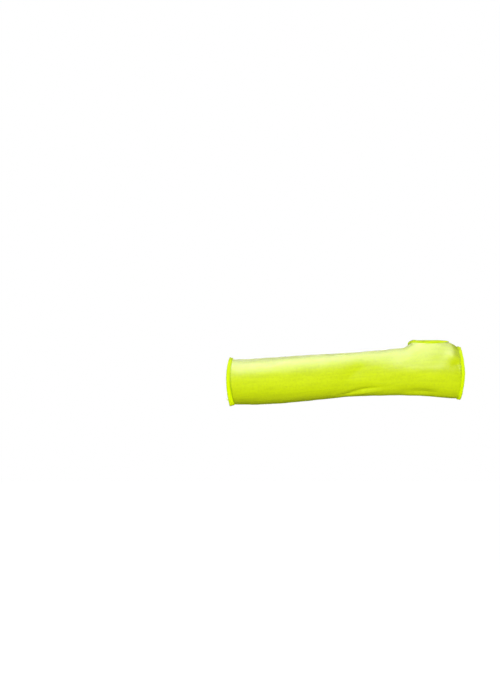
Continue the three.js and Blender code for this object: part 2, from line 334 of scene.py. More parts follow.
class SLEEVE_PG_knit(bpy.types.PropertyGroup):
    """The knit's stitches and yarn. 13 gauge knit has a wale each 1.5 mm and a course each 1.1 mm. Both are
    drawn about a fifth coarser, so that they show."""

    wales: IntProperty(name="Wales", description="Columns of stitches round the sleeve", default=110, min=20)
    course: a_length("Course", "Height of one row of stitches", 1.4 * MM)
    relief: a_length("Stitch relief", "How far the yarn stands out of the gaps between stitches", 0.12 * MM)
    yarn: a_colour("Yarn", "Colour of the yarn", "#E4FA00")
    # The gaps' colour is painted shade: the knit is drawn darker between its stitches, where shade falls in
    # the recesses
    gap: a_colour("Gaps", "Colour between the stitches", "#CAE000")
    # This colour is painted shade: the knit is darkened to it in a line beside the hems, where the hems
    # shade it
    hem_shade_colour: a_colour("Seam line", "Colour where a seam gathers the knit", "#8FA800")


class SLEEVE_PG_edges(bpy.types.PropertyGroup):
    """The overlock thread on the cut edges"""

    cover: a_length("Cover", "How much knit the thread covers", 4.2 * MM)
    roll: a_length("Roll", "Thickness of the thread over the knit", 1.25 * MM)
    strand: a_length("Strand", "Thickness of one strand", 0.95 * MM)
    wrap_pitch: a_length("Wrap pitch", "From one wrapping strand to the next", 1.25 * MM)
    seam_pitch: a_length("Seam pitch", "Length of one stitch of the seam", 2.5 * MM)
    thread: a_colour("Thread", "Colour of the thread", "#EAFF00")
    patches: a_colour("Thread's patches", "Colour of the thread's deeper patches", "#DEF600")


class SLEEVE_PG_stage(bpy.types.PropertyGroup):
    """The camera and the lights"""

    distance: a_length("Camera distance", "From the camera to the sleeve's middle", 1.8)
    front: a_brightness("Front light", "Brightness of the soft panel at the camera", 0.93)
    far: a_brightness("Far light", "Brightness of the soft panel behind", 0.8)
    overhead: a_brightness("Overhead light", "Brightness of the panel overhead that gives the gloss", 3.6)
    room: a_brightness("Room light", "Brightness of the light from all round", 0.19)


def unit(vectors):
    """Vectors made one long"""
    return vectors / np.linalg.norm(vectors, axis=-1, keepdims=True)


def falloff(distance, reach, ease=2):
    """1 at no distance, easing to 0 at reach"""
    return np.clip(1 - distance / reach, 0, 1) ** ease


def bell(distance, reach):
    """1 at no distance, fading to both sides"""
    return np.exp(-((distance / reach) ** 2))


def widening(share, amount):
    """How much wider a hem is at a share of the way along its edge"""
    return 1 + amount * bell(share - WIDE_AT, WIDE_REACH)


class WornKnit:
    """The middle of the knit's wall as it is worn. x runs along the sleeve, and arc runs round it from
    the slot's middle line by the back of the hand."""

    def __init__(self, shape):
        self.length = shape.length
        self.slot_length = shape.slot_length
        self.slot_width = shape.slot_width
        self.fold_depth = shape.fold_depth
        self.slot_end = shape.length - shape.thumb_strip
        self.slot_start = self.slot_end - shape.slot_length
        self.slot_middle = (self.slot_start + self.slot_end) / 2
        self.elbow_edge = HEM_TIP
        self.hand_edge = shape.length - HEM_TIP
        rows = [dict(zip(SECTION_COLUMNS, row)) for row in SECTIONS]
        for row in rows:
            height, depth = LIKE[row.pop("like")]
            row["rise"] *= AXIS_RISE
            row["height"] *= height
            row["back"] *= depth
            row["palm"] *= depth
        self.sections = {column: np.array([row[column] for row in rows]) for column in rows[0]}
        self.folds = [dict(zip(FOLD_COLUMNS, row)) for row in FOLDS]
        self.waves = [dict(zip(WAVE_COLUMNS, row)) for row in WAVES]

    def section(self, column, x):
        """A column of the sections at x, on a smooth curve through its rows"""
        at, values = self.sections["at"], self.sections[column]
        before = np.maximum(np.arange(at.size) - 1, 0)
        after = np.minimum(np.arange(at.size) + 1, at.size - 1)
        slopes = (values[after] - values[before]) / (at[after] - at[before])
        i = np.searchsorted(at[1:-1], x / self.length)
        span = at[i + 1] - at[i]
        t = (x / self.length - at[i]) / span
        start = values[i] * (1 + 2 * t) * (1 - t) ** 2 + slopes[i] * span * t * (1 - t) ** 2
        end = values[i + 1] * (3 - 2 * t) * t**2 - slopes[i + 1] * span * (1 - t) * t**2
        return start + end

    def outline(self, x, angle):
        """Depth and height of the plain outline at x, at an angle from the thumb side"""
        up, side = np.cos(angle), np.sin(angle)
        power = np.where(up > 0, self.section("crown", x), self.section("keel", x))
        depth = np.where(side > 0, self.section("back", x), self.section("palm", x))
        flat = np.abs(2 * up / self.section("height", x)) ** power + np.abs(side / depth) ** power
        radius = flat ** (-1 / power)
        climb = (up + np.sqrt(up**2 + LEAN_EASE)) / 2 * radius
        slant = self.section("lean", x) * (climb - LEAN_PIVOT * self.section("height", x))
        return np.stack([slant - side * radius, self.section("rise", x) + up * radius], axis=-1)

    def walk_round(self, x):
        """Angles round the outline at each x, and the arc lengths there"""
        angles = -SLOT_TURN + np.linspace(0, TURN, OUTLINE_STEPS + 1)
        points = self.outline(x[:, None], angles)
        chords = np.linalg.norm(np.diff(points, axis=1), axis=-1)
        return angles, np.concatenate([np.zeros((x.size, 1)), np.cumsum(chords, axis=1)], axis=1)

    def perimeter(self, x):
        """The way round the outline at x"""
        rows, row_of = np.unique(np.ravel(x), return_inverse=True)
        return self.walk_round(rows)[1][:, -1][row_of].reshape(np.shape(x))

    def lip(self, x, signed_arc):
        """How far the lip round the slot stands up"""
        half_length, half_width = self.slot_length / 2, self.slot_width / 2
        along, across = (x - self.slot_middle) / half_length, signed_arc / half_width
        level = np.hypot(along, across)
        # The slot's own area, where level is under 1, has no knit, so the floor of a half bends nothing
        level = np.maximum(level, 0.5)
        steepness = np.hypot(along / half_length, across / half_width) / level
        place = np.clip(along / level, -1, 1)
        ends = LIP_AT_WRIST + (place + 1) / 2 * (LIP_AT_FINGERS - LIP_AT_WRIST)
        side = 1 - place**2
        reach = LIP_REACH + side * (LIP_SIDE_REACH - LIP_REACH)
        away = (level - 1) / steepness
        steep = falloff(away, reach)
        shallow = falloff(away, reach, LIP_SIDE_EASE)
        return (ends + LIP_AT_SIDES * side) * (steep + side * (shallow - steep))

    def edge_distance(self, x, signed_arc):
        """Rough distance to the nearest cut edge"""
        half_length, half_width = self.slot_length / 2, self.slot_width / 2
        level = np.hypot((x - self.slot_middle) / half_length, signed_arc / half_width)
        slot = np.abs(level - 1) * half_width
        return np.minimum(np.minimum(np.abs(x - self.elbow_edge), np.abs(self.hand_edge - x)), slot)

    def stand_off(self, x, arc, perimeter):
        """How far the knit stands off its plain outline"""
        turn = np.mod(arc / perimeter, 1)
        signed_arc = np.where(turn < 0.5, turn, turn - 1) * perimeter
        push = ELBOW_FLARE * falloff(x - self.elbow_edge, FLARE_REACH)
        push = push + HAND_FLARE * falloff(self.hand_edge - x, FLARE_REACH)
        push = push + self.lip(x, signed_arc)
        share = x / self.length
        for fold in self.folds:
            along = (share - fold["at"]) / fold["along"]
            turned = turn - fold["around"] - fold["lean"] * (share - fold["at"])
            around = (np.mod(turned + 0.5, 1) - 0.5) / fold["across"]
            push = push + self.fold_depth * fold["push"] * np.exp(-(around**2) - along**2)
        for wave in self.waves:
            phase = wave["lengthways"] * share + wave["round"] * turn + wave["start"]
            push = push + self.fold_depth * wave["depth"] * np.sin(TURN * phase)
        place = PUCKERS * turn + PUCKER_SWAY * np.sin(PUCKER_SWINGS * TURN * turn) + PUCKER_SHIFT * share
        near = falloff(self.edge_distance(x, signed_arc), PUCKER_REACH)
        return push + self.fold_depth * PUCKER_DEPTH * np.cos(TURN * place) * near

    def gathered(self, x, turn):
        """How strongly shade is painted into the knit's colour beside the hems, from 0 to 1"""
        elbow_line = self.elbow_edge + HEM_SHADE_LINE * widening(turn, ELBOW_WIDENING)
        hand_line = self.hand_edge - HEM_SHADE_LINE
        below = bell(turn - ELBOW_SHADE_AT, ELBOW_SHADE_REACH)
        stitches = 1 - HAND_SHADE_FADE * (1 - np.sin(TURN * HAND_SHADE_STITCHES * turn))
        behind = bell(turn - HAND_SHADE_AT, HAND_SHADE_REACH) * stitches
        elbow = bell(x - elbow_line, HEM_SHADE_SPREAD) * (ELBOW_SHADE + (1 - ELBOW_SHADE) * below)
        return elbow + bell(x - hand_line, HEM_SHADE_SPREAD) * (HAND_SHADE + (1 - HAND_SHADE) * behind)

    def point(self, x, arc):
        """The point of the wall's middle at x and arc"""
        rows, row_of = np.unique(np.ravel(x), return_inverse=True)
        row_of = row_of.reshape(np.shape(x))
        angles, lengths = self.walk_round(rows)
        perimeter = lengths[:, -1][row_of]
        apart = np.arange(rows.size)
        stacked = (lengths + apart[:, None]).ravel()
        angle = np.interp(np.mod(arc, perimeter) + apart[row_of], stacked, np.tile(angles, rows.size))
        nudge = 1e-3
        along = unit(self.outline(x, angle + nudge) - self.outline(x, angle - nudge))
        edge = self.outline(x, angle)
        push = self.stand_off(x, arc, perimeter)
        turn = arc / perimeter
        elbow_bow = ELBOW_BOW * np.cos(TURN * turn) ** 2
        slant = 1 + HAND_BOW_SLANT * (1 - np.cos(TURN * turn)) / 2
        hand_bow = HAND_BOW * slant * np.cos(TURN * (turn - HAND_BOW_TURN)) ** 2
        bow = elbow_bow * falloff(x - self.elbow_edge, BOW_REACH)
        bow = bow - hand_bow * falloff(self.hand_edge - x, BOW_REACH)
        depth = edge[..., 0] + push * along[..., 1]
        height = edge[..., 1] - push * along[..., 0]
        return np.stack([x + bow, depth, height], axis=-1)

    def frame(self, x, arc):
        """The same point, with the outward direction there"""
        x, arc = np.broadcast_arrays(x, arc)
        nudge = 0.02 * MM
        lengthways = self.point(x + nudge, arc) - self.point(x - nudge, arc)
        around = self.point(x, arc + nudge) - self.point(x, arc - nudge)
        return self.point(x, arc), unit(np.cross(around, lengthways))


def spread(start, end, count, crowding=1.0):
    """count values from start towards end, without end, drawn towards start by a crowding over 1"""
    return start + (end - start) * (np.arange(count) / count) ** crowding


def knit_rows(knit):
    """Rows of the cloth's mesh: x, half the slot's width there, and whether the slot is open"""
    body_start = knit.elbow_edge + FLARE_REACH
    body_end = knit.slot_start - LIP_REACH
    if body_end <= body_start:
        raise ValueError("The slot and the strip leave no room for the sleeve")
    before = np.concatenate(
        [
            spread(knit.elbow_edge, body_start, ELBOW_ROWS),
            spread(body_start, body_end, BODY_ROWS),
            [body_end],
            spread(knit.slot_start, body_end, LIP_ROWS, CROWDING)[:0:-1],
        ]
    )
    angles = spread(0, math.pi, SLOT_ROWS)
    slot = knit.slot_middle - knit.slot_length / 2 * np.cos(angles)
    after = np.append(spread(knit.slot_end, knit.hand_edge, STRIP_ROWS, CROWDING), knit.hand_edge)
    x = np.concatenate([before, slot, after])
    half = np.zeros(x.size)
    half[before.size : before.size + slot.size] = knit.slot_width / 2 * np.sin(angles)
    is_open = np.zeros(x.size, bool)
    is_open[before.size : before.size + slot.size] = True
    return x, half, is_open


def column_arcs(perimeter, half):
    """Arc lengths of the mesh's columns in each row, from one edge of the slot round to the other"""
    lip = half[:, None] + LIP_REACH * (np.arange(LIP_COLUMNS) / LIP_COLUMNS) ** CROWDING
    clear = (perimeter - 2 * half - 2 * LIP_REACH)[:, None]
    body = (half + LIP_REACH)[:, None] + clear * (np.arange(BODY_COLUMNS + 1) / BODY_COLUMNS)
    return np.concatenate([lip, body, perimeter[:, None] - lip[:, ::-1]], axis=1)


def strips(first, second):
    """Quads between two rows of corners, whose outside is the side that sees first run from left to
    right with second above it"""
    quads = np.stack([first[..., :-1], first[..., 1:], second[..., 1:], second[..., :-1]], axis=-1)
    return quads.reshape(-1, 4)


def knit_cloth(knit, shape, yarn):
    """The cloth as one closed wall. Its UV map counts wales round the sleeve and courses along it."""
    x, half, is_open = knit_rows(knit)
    perimeter = knit.perimeter(x)
    arcs = column_arcs(perimeter, half)
    points, outs = knit.frame(x[:, None], arcs)
    half_wall = outs * shape.wall / 2
    corners = np.concatenate([(points + half_wall).reshape(-1, 3), (points - half_wall).reshape(-1, 3)])
    wales = arcs / perimeter[:, None] * yarn.wales
    courses = np.broadcast_to(x[:, None] / yarn.course, wales.shape)
    stitches = np.tile(np.stack([wales, courses], axis=-1).reshape(-1, 2), (2, 1))

    outside = np.arange(arcs.size).reshape(arcs.shape)
    inside = outside + arcs.size
    slot = np.flatnonzero(is_open)
    slot_rows = np.append(slot, slot[-1] + 1)
    face = strips(outside[:-1], outside[1:])
    reverse = np.concatenate(
        [
            strips(inside[1:], inside[:-1]),
            strips(inside[slot_rows, 0][None], outside[slot_rows, 0][None]),
            strips(outside[slot_rows, -1][None], inside[slot_rows, -1][None]),
            strips(inside[0][None], outside[0][None]),
            strips(outside[-1][None], inside[-1][None]),
        ]
    )
    quads = np.concatenate([face, reverse])

    joined = np.arange(2 * arcs.size)
    closed = np.flatnonzero(half == 0)
    joined[outside[closed, -1]] = outside[closed, 0]
    joined[inside[closed, -1]] = inside[closed, 0]
    used, numbers = np.unique(joined[quads], return_inverse=True)
    mesh = bpy.data.meshes.new("knit_cloth")
    mesh.from_pydata(corners[used].tolist(), [], numbers.reshape(-1, 4).tolist())
    mesh.polygons.foreach_set("material_index", (np.arange(len(quads)) >= len(face)).astype(np.int32))
    mesh.uv_layers.new(name="knit").data.foreach_set("uv", stitches[quads].ravel())
    # Painted shade beside the hems, kept on the corners so that the material darkens the knit's colour there
    gathered = np.tile(knit.gathered(x[:, None], arcs / perimeter[:, None]).ravel(), 2)
    mesh.attributes.new("gathered", "FLOAT", "POINT").data.foreach_set("value", gathered[used])
    mesh.shade_smooth()
    return mesh


class CutEdge:
    """The band of knit along a cut edge, by the way along the edge, the way back from it into the knit
    and the distance off the middle of the wall. It is read off the worn knit at STATIONS along the edge
    and at BANDS back from it. OVERRUN reads on past the last band, because the knit isn't flat."""

    STATIONS = 240
    SAMPLES = 720
    STRIDE = 0.25 * MM
    BANDS = 13
    OVERRUN = 1.7

    def __init__(self, knit, place, reach, tack=0.0, wide=0.0):
        self.tack = tack
        self.wide = wide
        reach = reach * (1 + wide)
        shares = np.linspace(0, 1, self.SAMPLES + 1)
        rim = knit.frame(*place(shares, np.zeros(shares.size)))[0]
        walked = self.walk(rim)
        self.length = walked[-1]
        self.reach = reach
        even = np.interp(np.arange(self.STATIONS) / self.STATIONS * self.length, walked, shares)
        flat = np.arange(0, self.OVERRUN * reach, self.STRIDE)
        points, outs = knit.frame(*place(even[:, None], flat[None, :]))
        backs = np.linspace(0, reach, self.BANDS)
        walks = [self.walk(row) for row in points]
        self.points = np.array([self.at(backs, walk, row) for walk, row in zip(walks, points)])
        self.outs = np.array([self.at(backs, walk, row) for walk, row in zip(walks, outs)])
        self.ahead = unit(self.points[:, 0] - self.points[:, 1])

    @staticmethod
    def walk(points):
        """The way walked from the first of a row of points to each"""
        return np.append(0, np.cumsum(np.linalg.norm(np.diff(points, axis=0), axis=-1)))

    @staticmethod
    def at(places, walked, row):
        """A row of vectors, read at other places of its walk"""
        return np.stack([np.interp(places, walked, row[:, k]) for k in range(3)], axis=-1)

    def wrap(self, flat):
        """Points laid out straight, as (along, back, off), in their place on the sleeve"""
        along, back, off = np.asarray(flat).T
        back = np.where(back > 0, back * widening(along / self.length, self.wide), back)
        station = np.mod(along / self.length, 1) * self.STATIONS
        i = np.floor(station).astype(int) % self.STATIONS
        k = (i + 1) % self.STATIONS
        s = (station - np.floor(station))[:, None]
        band = np.clip(back / self.reach, 0, 1) * (self.BANDS - 1)
        j = np.minimum(np.floor(band).astype(int), self.BANDS - 2)
        b = (band - j)[:, None]

        def blend(grid):
            near = grid[i, j] * (1 - b) + grid[i, j + 1] * b
            far = grid[k, j] * (1 - b) + grid[k, j + 1] * b
            return near * (1 - s) + far * s

        out = unit(blend(self.outs))
        off = off * (1 + self.tack * bell(along / self.length - TACK_AT, TACK_REACH))
        ahead = self.ahead[i] * (1 - s) + self.ahead[k] * s
        return blend(self.points) + out * off[:, None] + ahead * np.maximum(-back, 0)[:, None]


def end_edge(knit, edge, inward, reach, wide=0.0):
    """The cut edge of an open end. inward is 1 where the knit lies in +X from it, and -1 in -X."""

    def place(share, back):
        share, x = np.broadcast_arrays(share, edge + inward * back)
        return x, share * knit.perimeter(x)

    return CutEdge(knit, place, reach, wide=wide)


def slot_edge(knit, reach):
    """The cut edge of the thumb slot"""

    def place(share, back):
        along, across = np.cos(TURN * share), np.sin(TURN * share)
        outward = np.stack([along / knit.slot_length, across / knit.slot_width])
        outward = outward / np.linalg.norm(outward, axis=0)
        x = knit.slot_middle + knit.slot_length / 2 * along + outward[0] * back
        return x, knit.slot_width / 2 * across + outward[1] * back

    return CutEdge(knit, place, reach, SLOT_TACK)


def rings(count, sides):
    """Numbers of the corners of a tube's rings, and the quads between the rings"""
    numbers = np.arange(count * sides).reshape(count, sides)
    around = np.concatenate([numbers, numbers[:, :1]], axis=1)
    return numbers, strips(around[:-1], around[1:]).tolist()


def tube(path, thickness):
    """Corners and faces of a strand along a path, thinner at both ends"""
    path = np.array(path, float)
    ahead = unit(np.gradient(path, axis=0))
    no_strand_runs_this_way = (1.0, 0.02, 0.0)
    aside = unit(np.cross(ahead, no_strand_runs_this_way))
    over = np.cross(ahead, aside)
    angles = np.arange(STRAND_SIDES) / STRAND_SIDES * TURN
    radii = np.full(len(path), thickness / 2)
    radii[[0, -1]] *= STRAND_END
    ring = aside[:, None] * np.cos(angles)[:, None] + over[:, None] * np.sin(angles)[:, None]
    corners = (path[:, None] + ring * radii[:, None, None]).reshape(-1, 3)
    numbers, faces = rings(len(path), STRAND_SIDES)
    return corners, [*faces, numbers[0][::-1].tolist(), numbers[-1].tolist()]


def plain_mesh(name, parts):
    """One mesh of several (corners, faces)"""
    corners = np.concatenate([part[0] for part in parts])
    faces, base = [], 0
    for part_corners, part_faces in parts:
        faces += [[base + k for k in face] for face in part_faces]
        base += len(part_corners)
    mesh = bpy.data.meshes.new(name)
    mesh.from_pydata(corners.tolist(), [], faces)
    mesh.shade_smooth()
    return mesh


def edge_core(edge, shape, edges):
    """The padding under the strands, laid out straight: a band folded over the cut edge"""
    clear = CORE_CLEARANCE
    inner = shape.wall / 2 + clear
    outer = shape.wall / 2 + edges.roll - STRAND_SINK * edges.strand
    tip = HEM_TIP - STRAND_SINK * edges.strand
    bend = (-BEND_REACH * tip, BEND_HEIGHT * outer)
    half = [(edges.cover, inner), (edges.cover - clear, outer), (0.0, outer), bend]
    mirrored = [(back, -off) for back, off in half[::-1]]
    section = [*half, (-tip, 0.0), *mirrored, (-clear, -inner), (-clear, inner)]
    stations = np.linspace(0, edge.length, CutEdge.STATIONS + 1)
    corners = np.array([(along, back, off) for along in stations for back, off in section])
    return corners, rings(len(stations), len(section))[1]


def wrap_stitch(shape, edges):
    """One strand that wraps the cut edge, slanting over the outside, round the tip and back inside. Its
    path is given by shares of its slant, the way back from the edge and the way off the knit."""
    over = shape.wall / 2 + edges.roll - edges.strand / 2
    tip = HEM_TIP - edges.strand / 2
    low = shape.wall / 2 + 0.3 * edges.strand
    slant = WRAP_SLANT * edges.wrap_pitch
    side = [
        (0.0, edges.cover + 0.25 * edges.strand, low),
        (0.1, edges.cover - 0.5 * edges.strand, over),
        (0.5, 0.45 * edges.cover, 1.04 * over),
        (0.85, 0.0, over),
        (0.95, -BEND_REACH * tip, BEND_HEIGHT * over),
    ]
    outside = [(slant * share, back, off) for share, back, off in side]
    inside = [(slant * (2 - share), back, -off) for share, back, off in side[::-1]]
    return plain_mesh("wrap_stitch", [tube([*outside, (slant, -tip, 0.0), *inside], edges.strand)])


def seam_stitch(shape, edges):
    """One stitch of the seam that holds the strands, on the outside and on the inside"""
    over = shape.wall / 2 + edges.roll - 0.1 * edges.strand
    low = over - 0.6 * edges.strand
    back = edges.cover - 0.7 * edges.strand
    path = [(0.0, low), (0.16, over), (0.5, over), (0.84, over), (1.0, low)]
    outside = [(edges.seam_pitch * share, back, off) for share, off in path]
    inside = [(along, back, -off) for along, back, off in outside]
    thickness = SEAM_STRAND * edges.strand
    return plain_mesh("seam_stitch", [tube(path, thickness) for path in (outside, inside)])


def add(tree, kind, inputs=None, **settings):
    """A node with its settings, and with each named input set to a value or linked to a socket"""
    node = tree.nodes.new(kind)
    for name, value in settings.items():
        setattr(node, name, value)
    for name, value in (inputs or {}).items():
        if isinstance(value, bpy.types.NodeSocket):
            tree.links.new(value, node.inputs[name])
        else:
            node.inputs[name].default_value = value
    return node


def stitch_row_tree():
    """Geometry Nodes that lay the strands and the seam stitches of an edge along its straightened core"""
    tree = bpy.data.node_groups.new("Overlocked edge", "GeometryNodeTree")
    for name, kind in (
        ("Core", "Geometry"),
        ("Wrap stitch", "Object"),
        ("Wrap count", "Int"),
        ("Wrap pitch", "Float"),
        ("Seam stitch", "Object"),
        ("Seam count", "Int"),
        ("Seam pitch", "Float"),
        ("Unevenness", "Float"),
        ("Seed", "Int"),
        ("Thread", "Material"),
    ):
        tree.interface.new_socket(name=name, in_out="INPUT", socket_type="NodeSocket" + kind)
    tree.interface.new_socket(name="Edge", in_out="OUTPUT", socket_type="NodeSocketGeometry")
    given = add(tree, "NodeGroupInput").outputs
    limits = {"Seed": given["Seed"]}
    for limit, operation in (("Min", "SUBTRACT"), ("Max", "ADD")):
        size = add(tree, "ShaderNodeMath", {0: 1.0, 1: given["Unevenness"]}, operation=operation).outputs[0]
        limits[limit] = add(tree, "ShaderNodeCombineXYZ", {"X": 1.0, "Y": size, "Z": size}).outputs[0]
    sizes = add(tree, "FunctionNodeRandomValue", limits, data_type="FLOAT_VECTOR").outputs[0]
    joined = add(tree, "GeometryNodeJoinGeometry", {"Geometry": given["Core"]})
    for stitch in ("Wrap", "Seam"):
        step = add(tree, "ShaderNodeCombineXYZ", {"X": given[stitch + " pitch"]})
        spacing = {"Count": given[stitch + " count"], "Offset": step.outputs[0]}
        line = add(tree, "GeometryNodeMeshLine", spacing, mode="OFFSET").outputs["Mesh"]
        source = add(tree, "GeometryNodeObjectInfo", {"Object": given[stitch + " stitch"]})
        copies = {"Points": line, "Instance": source.outputs["Geometry"], "Scale": sizes}
        laid = add(tree, "GeometryNodeInstanceOnPoints", copies)
        tree.links.new(laid.outputs["Instances"], joined.inputs["Geometry"])
    real = add(tree, "GeometryNodeRealizeInstances", {"Geometry": joined.outputs["Geometry"]})
    paint = {"Geometry": real.outputs["Geometry"], "Material": given["Thread"]}
    painted = add(tree, "GeometryNodeSetMaterial", paint)
    add(tree, "NodeGroupOutput", {"Edge": painted.outputs["Geometry"]})
    return tree


def places(mesh):
    """The places of a mesh's corners"""
    flat = np.empty(3 * len(mesh.vertices))
    mesh.vertices.foreach_get("co", flat)
    return flat.reshape(-1, 3)


def overlocked(name, edge, shape, edges, tree, material, extra=()):
    """A hem: its strands and seam are laid straight along its core, and the whole is wrapped round the
    edge"""
    scene = bpy.context.scene
    meshes = (wrap_stitch(shape, edges), seam_stitch(shape, edges))
    stitches = [bpy.data.objects.new(mesh.name, mesh) for mesh in meshes]
    core = bpy.data.objects.new(name, plain_mesh(name + "_core", [edge_core(edge, shape, edges), *extra]))
    for piece in (*stitches, core):
        scene.collection.objects.link(piece)
    wraps = round(edge.length / edges.wrap_pitch)
    seams = round(edge.length / edges.seam_pitch)
    values = {
        "Wrap stitch": stitches[0],
        "Wrap count": wraps,
        "Wrap pitch": edge.length / wraps,
        "Seam stitch": stitches[1],
        "Seam count": seams,
        "Seam pitch": edge.length / seams,
        "Unevenness": UNEVENNESS,
        "Seed": SEED,
        "Thread": material,
    }
    modifier = core.modifiers.new("Overlocked edge", "NODES")
    modifier.node_group = tree
    for socket in tree.interface.items_tree:
        if socket.name in values:
            modifier[socket.identifier] = values[socket.name]
    laid = core.evaluated_get(bpy.context.evaluated_depsgraph_get())
    mesh = bpy.data.meshes.new_from_object(laid)
    core.modifiers.remove(modifier)
    core.data = mesh
    for stitch in stitches:
        bpy.data.objects.remove(stitch)
    mesh.vertices.foreach_set("co", edge.wrap(places(mesh)).ravel())
    made = bmesh.new()
    made.from_mesh(mesh)
    bmesh.ops.remove_doubles(made, verts=made.verts, dist=1e-7)
    bmesh.ops.recalc_face_normals(made, faces=made.faces)
    made.to_mesh(mesh)
    made.free()
    mesh.shade_smooth()
    return core


def thread_tails(edge, shape, edges):
    """The two cut ends of the thread, which hang out of the hem, laid out straight"""
    start = TAIL_AT * edge.length
    over = shape.wall / 2 + edges.roll / 2
    return [
        tube(
            [(start + along * MM, back * MM, share * over) for along, back, share in path],
            TAIL_STRAND * edges.strand,
        )
        for path in TAILS
    ]


def ridges(tree, row):
    """Height of ridges, one to each whole number of row, from 0 between them to 1 at their tops"""
    phase = add(tree, "ShaderNodeMath", {0: row, 1: math.pi}, operation="MULTIPLY").outputs[0]
    wave = add(tree, "ShaderNodeMath", {0: phase}, operation="SINE").outputs[0]
    return add(tree, "ShaderNodeMath", {0: wave}, operation="ABSOLUTE").outputs[0]


def face_stitches(tree, place):
    """Height of the V-shaped stitches of the knit's face, from 0 in the gaps to 1 on the yarn"""
    aside = add(tree, "ShaderNodeMath", {0: place.outputs["X"], 1: 0.5}, operation="PINGPONG").outputs[0]
    rest = add(tree, "ShaderNodeMath", {0: aside, 1: -2.0, 2: 1.0}, operation="MULTIPLY_ADD").outputs[0]
    leg = add(tree, "ShaderNodeMath", {0: aside, 1: rest}, operation="MULTIPLY").outputs[0]
    to_full_height = 8.0
    leg = add(tree, "ShaderNodeMath", {0: leg, 1: to_full_height}, operation="MULTIPLY").outputs[0]
    climb = {0: aside, 1: -LEG_CLIMB, 2: place.outputs["Y"]}
    slant = add(tree, "ShaderNodeMath", climb, operation="MULTIPLY_ADD").outputs[0]
    dip = {0: ridges(tree, slant), 1: 1 - LEG_DIP, 2: LEG_DIP}
    swell = add(tree, "ShaderNodeMath", dip, operation="MULTIPLY_ADD").outputs[0]
    return add(tree, "ShaderNodeMath", {0: leg, 1: swell}, operation="MULTIPLY").outputs[0]


def reverse_stitches(tree, place):
    """Height of the row of half loops that the knit's reverse shows"""
    turned = add(tree, "ShaderNodeMath", {0: place.outputs["X"], 1: TURN}, operation="MULTIPLY").outputs[0]
    weave = add(tree, "ShaderNodeMath", {0: turned}, operation="COSINE").outputs[0]
    swing = {0: weave, 1: LOOP_SWING, 2: place.outputs["Y"]}
    row = add(tree, "ShaderNodeMath", swing, operation="MULTIPLY_ADD").outputs[0]
    return ridges(tree, row)


# Sockets of a Mix node that is set to colours
FIRST_COLOUR = 6
SECOND_COLOUR = 7
MIXED_COLOUR = 2


def bare_material(name):
    """A material without nodes, and its node tree"""
    material = bpy.data.materials.new(name)
    material.use_nodes = True
    material.node_tree.nodes.clear()
    return material, material.node_tree


def knitted_polyethylene(name, yarn, stitches):
    """Plain knit of high-strength polyethylene filament yarn, dyed fluorescent yellow. Filaments lie
    smooth, so it is pale and glossy where it mirrors the light overhead, and strongly coloured elsewhere.
    The gaps between its stitches are painted darker than the yarn, as painted shade, and the knit is painted
    darkest beside the hems, as painted shade where the hems shade it."""
    material, tree = bare_material(name)
    counted = add(tree, "ShaderNodeUVMap", uv_map="knit").outputs["UV"]
    where = add(tree, "ShaderNodeTexCoord").outputs["Object"]
    stray = add(tree, "ShaderNodeTexNoise", {"Vector": where, "Scale": 1 / LOOP_STRAY_SIZE, "Detail": 1.0})
    strayed = {0: stray.outputs["Color"], 1: (LOOP_STRAY, LOOP_STRAY, 0.0), 2: counted}
    uneven = add(tree, "ShaderNodeVectorMath", strayed, operation="MULTIPLY_ADD").outputs[0]
    place = add(tree, "ShaderNodeSeparateXYZ", {0: uneven})
    height = stitches(tree, place)
    stretched = {"Vector": counted, "Scale": (1 / STREAK_WIDTH, 1 / STREAK_LENGTH, 1.0)}
    along = add(tree, "ShaderNodeMapping", stretched)
    streaks = add(tree, "ShaderNodeTexNoise", {"Vector": along.outputs[0], "Scale": 1.0, "Detail": 3.0})
    patches = add(tree, "ShaderNodeTexNoise", {"Vector": where, "Scale": 1 / KNIT_PATCH_SIZE, "Detail": 2.0})
    both = add(tree, "ShaderNodeMath", {0: streaks.outputs[0], 1: patches.outputs[0]}, operation="ADD")
    gain = {0: both.outputs[0], 1: SHADE_GAIN, 2: SHADE_START}
    shade = add(tree, "ShaderNodeMath", gain, operation="MULTIPLY_ADD")
    # The stitches' height paints shade into the gaps between them; the streaks and patches are the yarn's
    # own uneven tone
    lit = add(tree, "ShaderNodeMath", {0: height, 1: shade.outputs[0]}, operation="ADD", use_clamp=True)
    mixed = {0: lit.outputs[0], FIRST_COLOUR: yarn.gap, SECOND_COLOUR: yarn.yarn}
    dyed = add(tree, "ShaderNodeMix", mixed, data_type="RGBA").outputs[MIXED_COLOUR]
    # Painted shade: the knit's colour is darkened beside the hems, where the hems shade it
    seam = add(tree, "ShaderNodeAttribute", attribute_name="gathered").outputs["Fac"]
    mixed = {0: seam, FIRST_COLOUR: dyed, SECOND_COLOUR: yarn.hem_shade_colour}
    shaded_colour = add(tree, "ShaderNodeMix", mixed, data_type="RGBA").outputs[MIXED_COLOUR]
    bump = add(tree, "ShaderNodeBump", {"Height": height, "Distance": yarn.relief, "Strength": 1.0})
    shader = add(
        tree,
        "ShaderNodeBsdfPrincipled",
        {
            "Base Color": shaded_colour,
            "Roughness": 0.44,
            "IOR": 1.5,
            "Specular IOR Level": 0.5,
            "Normal": bump.outputs["Normal"],
        },
    )
    add(tree, "ShaderNodeOutputMaterial", {"Surface": shader.outputs["BSDF"]})
    return material


